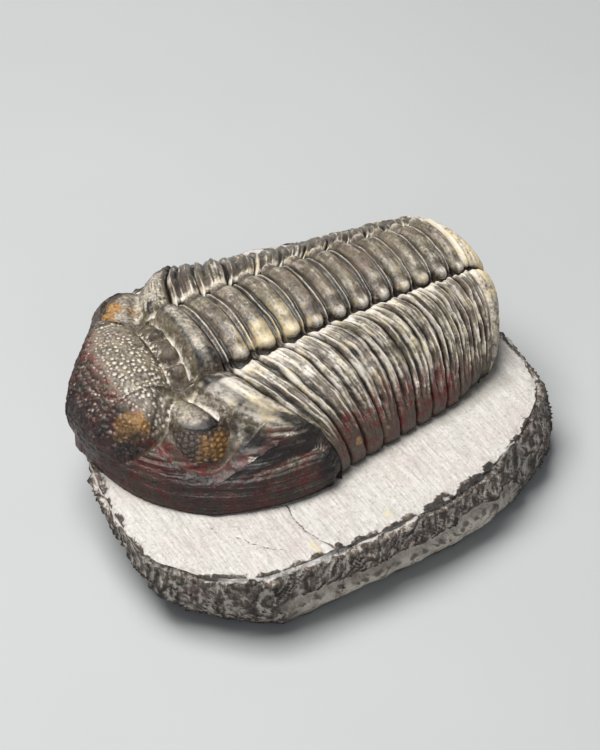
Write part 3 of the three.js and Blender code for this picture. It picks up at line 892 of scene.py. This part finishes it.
    # the cheek and the front border are made darker, partly their own dark colour and partly painted shade;
    # the border ridge, eye lobes, occipital ring, knobs and rub lines are made paler
    crest = layers["crest"] * (1 - 0.5 * on_cheek) + 0.8 * ridge + 0.1 * on_eye + 0.05 * on_glabella
    crest += 0.25 * ring * near_axis + 0.3 * pea + (0.85 * rub - 0.52) * fringe - 0.45 * on_cheek
    layers["crest"] = np.clip(crest, -1, 1)
    wine = 1.3 * step(room, 0.62, 0.30) * step(points[..., 0], -14, -6) + blobs(
        points, (1.3, (5, -25, 6), (16, 6, 8)), (0.5, (-10, -20, 11), (9, 8, 8)),
        (0.35, (20, -16, 7), (8, 6, 6)),
    )
    layers["wine"] = unit(wine) * step(off, 1.0, -1.5)
    pale = 0.85 * ridge * step(ax, 15, 21) * left + blobs(
        points, (0.5, (9, -3.5, 17), (2.5, 2, 2)), (0.45, (-20, -6, 14), (6, 6, 4))
    )
    layers["cream"] = unit(pale)
    front_rust = blob(points, (13, -21.7, 13.0), (3.8, 3.4, 4.2)) * (1 + 0.6 * grain(points, 3.5, 3, 97))
    far_rust = blob(points, (-16.5, -10, 14.5), (4.5, 5, 3.5)) * (0.8 + 0.7 * grain(points, 3, 3, 98))
    near_rust = blob(points, (22, -10.5, 8), (2.2, 7, 2.5))
    layers["rust"] = unit(1.1 * front_rust + 0.8 * far_rust + 0.5 * near_rust)
    sheet = shaped[::-1], {k: v[::-1] for k, v in layers.items()}
    add_plate("head_shield", sheet, (0.0, 0.0), material, "cephalon")


def build_eye(side, material):
    """Curved wall of lenses on the outer side of an eye lobe."""
    rows, columns = EYE_GRID
    angle = np.linspace(-100, 100, columns)[None, :] * math.pi / 180
    h = np.linspace(0, 1, rows)[:, None]
    radius = lerp(EYE_FOOT[0], EYE_TOP[0], h) + 0.5 * np.sin(np.pi * h)
    column = (angle / math.radians(200) + 0.5) * LENS_FILES
    row = h * LENSES_A_FILE + 0.5 * (np.floor(column) % 2)
    inside = ((column % 1) - 0.5) ** 2 * 1.25 + ((row % 1) - 0.5) ** 2
    lens = dome(1 - inside / 0.21)
    edge = np.minimum(step(h, 0.0, 0.08), step(h, 1.0, 0.94))
    worn = ripple(angle * 3, h * 3, 0, 3, 91)
    radius = radius + (0.20 * lens * step(worn, -0.5, 0.3) + 0.10 * worn - 0.06) * edge
    height = lerp(EYE_FOOT[1], EYE_TOP[1], h) + 0 * angle
    flat = np.stack([
        side * (EYE_X + radius * np.cos(angle)), EYE_Y + radius * np.sin(angle), height,
    ], -1)
    points = turned(flat, 1.0)
    patch = hump(angle * 180 / math.pi, 8, 42) * hump(h, 0.45, 0.55)
    if side > 0:
        points, lens, patch = points[:, ::-1], lens[:, ::-1], patch[:, ::-1]
    name = "left_eye_lenses" if side > 0 else "right_eye_lenses"
    piece = sculpted_grid(name, points, {"relief": 0.5 * (lens - 0.7), "rust": patch})
    bpy.ops.object.modifier_add(type="SOLIDIFY")
    wall = piece.modifiers[-1]
    wall.thickness, wall.offset = LENS_WALL, 1.0
    bpy.ops.object.modifier_apply(modifier=wall.name)
    bpy.ops.object.mode_set(mode="EDIT")
    finish_faces()
    finish_piece(piece, material, "left_eye" if side > 0 else "right_eye")


# ---- limestone block

BLOCK_CORNERS = np.array([
    (4, -28.5), (20, -31), (32, -31), (42, -24), (48.5, -15), (49.3, 4), (48.5, 24), (44.5, 39),
    (37, 52.5), (27, 61.5), (10, 63.5), (-10, 61), (-26, 55), (-37, 42), (-41, 24), (-41, 8), (-35, -5),
    (-22, -15), (-8, -24),
], float)
BLOCK_LEVELS = [(0, 2.0), (-2, 1.2), (-5, 1.0), (-10, 1.5), (-13, 2.6), (-16, 4.2)]  # height, inset
BLOCK_HEIGHT, BLOCK_SLANT = 16.0, 0.3
BLOCK_COLUMNS, TOP_ROWS, SIDE_ROWS = 640, (7, 56), 78
LONG_CRACK = [(32.4, -0.8), (37.7, -0.8), (43.7, -0.1), (48.3, 2.4), (52.4, 4.1)]
SHORT_CRACK = [(30.6, -15.6), (35, -12.9), (40.3, -9.7), (43.4, -5.6)]


def block_outline(count):
    """Closed smooth curve through the block's corners."""
    u = np.arange(count) / count * len(BLOCK_CORNERS)
    i, f = np.floor(u).astype(int), (u % 1)[:, None]
    p = [BLOCK_CORNERS[(i + k) % len(BLOCK_CORNERS)] for k in (-1, 0, 1, 2)]
    bent = (2 * p[0] - 5 * p[1] + 4 * p[2] - p[3]) * f**2 + (3 * p[1] - p[0] - 3 * p[2] + p[3]) * f**3
    return 0.5 * (2 * p[1] + (p[2] - p[0]) * f + bent)


def path_distance(x, y, path):
    """Distance from each place to the nearest leg of a path."""
    best = np.full(x.shape, 1e9)
    for (ax, ay), (bx, by) in zip(path, path[1:]):
        dx, dy = bx - ax, by - ay
        t = unit(((x - ax) * dx + (y - ay) * dy) / (dx * dx + dy * dy))
        best = np.minimum(best, np.hypot(x - ax - t * dx, y - ay - t * dy))
    return best


def build_block(look, material):
    """Block of limestone: scraped top, chipped rim, tooled sides with a smoother layer low down."""
    count = BLOCK_COLUMNS
    outline = block_outline(count)
    gaps = np.linalg.norm(np.roll(outline, -1, 0) - outline, axis=1)
    travelled = np.concatenate([[0], np.cumsum(gaps)])
    even = np.arange(count) / count * travelled[-1]
    outline = np.stack([
        np.interp(even, travelled, np.append(outline[:, a], outline[0, a])) for a in (0, 1)
    ], 1)
    centre = outline.mean(0)
    outward = outline - centre
    outward = outward / np.linalg.norm(outward, axis=1, keepdims=True)
    inner_rows, outer_rows = TOP_ROWS
    share = np.concatenate([np.linspace(0, 0.5, inner_rows)[:-1], np.linspace(0.5, 1, outer_rows)[:-1]])
    depth = np.linspace(0, BLOCK_HEIGHT, SIDE_ROWS)
    heights = np.array(BLOCK_LEVELS)
    inset = np.interp(-depth, heights[::-1, 0], heights[::-1, 1])
    rim = outline - 2.0 * outward
    top = centre + share[:, None, None] * (rim - centre)[None]
    side = outline[None] - inset[:, None, None] * outward[None]
    side[..., 1] += BLOCK_SLANT * depth[:, None]
    low = np.linspace(1, 0, 5)[1:]
    middle = centre + np.array([0, BLOCK_SLANT * BLOCK_HEIGHT])
    bottom = middle + low[:, None, None] * (side[-1] - middle)[None]
    plan = np.concatenate([top, side, bottom])
    levels = np.concatenate([np.zeros(len(share)), -depth, np.full(len(low), -BLOCK_HEIGHT)])
    z = levels[:, None] + np.zeros(count)
    points = np.concatenate([plan, z[..., None]], -1)
    rows = len(points)
    first_side, first_low = len(share), len(share) + len(depth)
    kind = np.zeros((rows, count))
    kind[first_side:first_low] = 1
    x, y = points[..., 0], points[..., 1]

    # top: gentle waves, scrape marks, the cracks
    waves = 0.22 * grain(points, 13, 3, 51) + 0.07 * grain(points, 2.5, 3, 52)
    scrape = 0.06 * grain(points * np.array([0.45, 1.6, 1]), 1.5, 3, 53)
    wander = 0.5 * grain(points, 3.0, 3, 54)
    long_gap, short_gap = path_distance(x, y + wander, LONG_CRACK), path_distance(x, y + wander, SHORT_CRACK)
    gap = np.clip(np.minimum(long_gap, 1.8 * short_gap), 0, 6)
    pit = warts(points, 1.25, 0.42, 55) * blob(points, (44, -1.0, 0), (4.5, 2.6, 9)) > 0.10
    gap = np.where(pit, 0.05, gap)
    from_edge = np.zeros((rows, count))
    from_edge[:first_side] = (1 - share)[:, None] * np.linalg.norm(rim - centre, axis=1)[None]
    chips = np.clip(grain(points, 4.5, 4, 61) * 0.6 + 0.45, 0, 1.2)
    broken = look.chip_depth * chips * np.exp(-from_edge / 1.1)
    on_top = kind == 0
    on_top[first_low:] = False
    points[..., 2] += np.where(on_top, waves + scrape - 0.22 * hump(gap, 0, 0.35) - broken, 0)

    # sides: chisel marks, leaning, over a slower unevenness
    run = even[None, :] + 0 * z
    d = -z
    lean_a, lean_b = run * 0.82 + d * 0.57, d * 0.82 - run * 0.57
    bent = 0.9 * grain(points, 6, 3, 75)
    marks = ripple(lean_a / 3.1 + bent, lean_b / 10, 0, 3, 71)
    slow = grain(points, 9, 4, 72)
    coarse = grain(points, 2.2, 4, 73)
    edge_x, edge_y = outline[None, :, 0], outline[None, :, 1]
    near_side = step(edge_x, 40, 46) * step(edge_y, -16, -8) * step(edge_y, 47, 40)
    boundary = 8.6 + 1.6 * ripple(run / 9, 0, 0, 3, 74)
    layer = near_side * step(d, boundary - 0.3, boundary + 0.5)
    nick = ripple(lean_a / 1.5 + 2 * bent, lean_b / 6.0, 0, 2, 79)
    burr = np.exp(-np.abs(nick) / 0.16) * step(grain(points, 2.4, 2, 80), -0.35, 0.25)
    tooled = 0.70 * marks + 0.35 * coarse + 0.75 * burr - 0.2
    push = look.tool_depth * tooled * lerp(1.0, 0.35, layer) + 0.7 * slow
    push -= 1.3 * hump(d, boundary + 0.3, 0.9) * near_side
    push -= 1.2 * layer * step(d, 12.0, BLOCK_HEIGHT)
    fade = unit(d / 1.6) * unit((BLOCK_HEIGHT - d) / 1.2)
    push = np.where(kind > 0, push * lerp(0.45, 1, fade) - 0.8 * broken * (1 - fade), 0)
    points[first_side:first_low, :, :2] += (push[..., None] * outward)[first_side:first_low]
    drop = np.where(kind > 0, -broken * (1 - step(d, 0, 2.5)) + waves * (1 - step(d, 0, 2.0)), 0)
    points[..., 2] += drop
    points[first_low - 1 :, :, 2] = -BLOCK_HEIGHT
    points[first_side - 1, :, 2] = (points[first_side - 2, :, 2] + points[first_side, :, 2]) / 2

    normals = grid_normals(points)
    crest = np.tanh(convexity(points, normals, 3, 3) * 2.5 + convexity(points, normals, 1, 1) * 4.0)
    over_rim = step(from_edge + 1.1 * coarse, 1.2, 0.5)
    sided = np.where(kind > 0, step(d + 0.9 * coarse, 0.1, 1.1), over_rim)
    beside = np.abs(x) - along(31.3, 23.0, y)
    # a band on the stone along the animal's margin where the stone is darker
    margin_band = hump(beside, 0, 3.2) * step(y, -2, 4) * step(y, 60, 52)
    stain = blobs(points, (0.8, (44, 14.6, 0), (1.2, 1.0, 3)), (0.8, (45, -1.6, 0), (3.0, 0.9, 3)))
    layers = {"side": sided, "crest": crest, "layer": layer, "gap": gap, "margin_band": margin_band, "stain": unit(stain)}

    def closed(values):
        return np.concatenate([values, values[:, :1]], 1)

    layers = {k: closed(v) for k, v in layers.items()}
    piece = sculpted_grid("limestone_block", closed(points), layers)
    weld_seams()
    finish_piece(piece, material, "matrix")


# ---- operators


class FOSSIL_OT_thorax(bpy.types.Operator):
    """Add the eleven plates of the thorax"""

    bl_idname = "fossil.thorax"
    bl_label = "Thorax"

    def execute(self, context):
        look = context.scene.fossil_shell
        material = shell_material("body_shell", look, 0.9, 0.0)
        for number in range(SEGMENTS):
            build_segment(number, look, material)
        return {"FINISHED"}


class FOSSIL_OT_tail(bpy.types.Operator):
    """Add the tail shield"""

    bl_idname = "fossil.tail"
    bl_label = "Tail shield"

    def execute(self, context):
        look = context.scene.fossil_shell
        build_tail(look, shell_material("tail_shell", look, 0.6, 0.08))
        return {"FINISHED"}


class FOSSIL_OT_head(bpy.types.Operator):
    """Add the head shield"""

    bl_idname = "fossil.head"
    bl_label = "Head shield"

    def execute(self, context):
        look = context.scene.fossil_shell
        build_head(look, shell_material("head_shell", look, 1.0, -0.05, 0.42))
        return {"FINISHED"}


class FOSSIL_OT_eyes(bpy.types.Operator):
    """Add the lens surface of both eyes"""

    bl_idname = "fossil.eyes"
    bl_label = "Eyes"

    def execute(self, context):
        material = eye_material(context.scene.fossil_shell)
        for side in (1, -1):
            build_eye(side, material)
        return {"FINISHED"}


class FOSSIL_OT_block(bpy.types.Operator):
    """Add the limestone block"""

    bl_idname = "fossil.block"
    bl_label = "Limestone block"

    def execute(self, context):
        look = context.scene.fossil_stone
        build_block(look, stone_material(look))
        return {"FINISHED"}


class FOSSIL_OT_stage(bpy.types.Operator):
    """Add the floor, the lights and the camera"""

    bl_idname = "fossil.stage"
    bl_label = "Stage"

    def execute(self, context):
        stage = context.scene.fossil_stage
        deselect()
        bpy.ops.mesh.primitive_plane_add(size=6, location=(0, 0, -0.0002))
        floor = context.object
        floor.name = "floor"
        bpy.ops.object.transform_apply(location=True)
        paint = Paint("floor", 0.9)
        shade = paint.noise(90, 3).between(0.3, 0.7)
        tone = tuple(stage.floor)
        paint.set("Base Color", paint.mix(shade, tuple(c * 0.97 for c in tone), tone))
        floor.data.materials.append(paint.material)

        world = bpy.data.worlds.new("studio")
        context.scene.world = world
        world.use_nodes = True
        background = world.node_tree.nodes["Background"]
        background.inputs["Color"].default_value = (0.90, 0.95, 1.0, 1)
        background.inputs["Strength"].default_value = stage.sky

        aim = Vector((0, 0, 0.015))
        for name, place, size, power, tint in (
            ("key", (-0.07, -0.16, 0.66), 0.42, stage.key_power, (1.0, 0.985, 0.96)),
            ("fill", (0.55, -0.35, 0.40), 0.5, stage.fill_power, (0.93, 0.96, 1.0)),
        ):
            bpy.ops.object.light_add(type="AREA", location=place)
            lamp = context.object
            lamp.name = name
            lamp.data.size, lamp.data.energy, lamp.data.color = size, power, tint
            lamp.rotation_euler = (aim - Vector(place)).to_track_quat("-Z", "Y").to_euler()

        target = Vector((-0.0027, 0.0028, 0.0153))
        a, e = stage.azimuth, stage.elevation
        away = Vector((math.sin(a) * math.cos(e), -math.cos(a) * math.cos(e), math.sin(e)))
        bpy.ops.object.camera_add(location=target + away * stage.distance)
        camera = context.object
        camera.rotation_euler = (-away).to_track_quat("-Z", "Y").to_euler()
        camera.data.lens, camera.data.sensor_width = stage.lens, 36
        camera.data.clip_start, camera.data.clip_end = 0.01, 20
        context.scene.camera = camera
        context.scene.view_settings.view_transform = "Standard"
        return {"FINISHED"}


class FOSSIL_PT_panel(bpy.types.Panel):
    """The fossil's settings and the steps that build it"""

    bl_label = "Trilobite Fossil"
    bl_idname = "FOSSIL_PT_panel"
    bl_space_type = "VIEW_3D"
    bl_region_type = "UI"
    bl_category = "Fossil"

    def draw(self, context):
        for operator in OPERATORS:
            self.layout.operator(operator.bl_idname)
        for group in (context.scene.fossil_shell, context.scene.fossil_stone, context.scene.fossil_stage):
            box = self.layout.box()
            for key in group.bl_rna.properties.keys():
                if key not in ("rna_type", "name"):
                    box.prop(group, key)


OPERATORS = (
    FOSSIL_OT_stage, FOSSIL_OT_block, FOSSIL_OT_head, FOSSIL_OT_eyes, FOSSIL_OT_thorax, FOSSIL_OT_tail,
)
GROUPS = {"fossil_shell": ShellSettings, "fossil_stone": StoneSettings, "fossil_stage": StageSettings}
CLASSES = (*GROUPS.values(), *OPERATORS, FOSSIL_PT_panel)


def register():
    for cls in CLASSES:
        bpy.utils.register_class(cls)
    for key, cls in GROUPS.items():
        setattr(bpy.types.Scene, key, PointerProperty(type=cls))


def unregister():
    for key in GROUPS:
        delattr(bpy.types.Scene, key)
    for cls in reversed(CLASSES):
        bpy.utils.unregister_class(cls)


def main():
    register()
    bpy.ops.fossil.stage()
    bpy.ops.fossil.block()
    bpy.ops.fossil.head()
    bpy.ops.fossil.eyes()
    bpy.ops.fossil.thorax()
    bpy.ops.fossil.tail()
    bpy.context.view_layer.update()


if __name__ == "__main__":
    main()
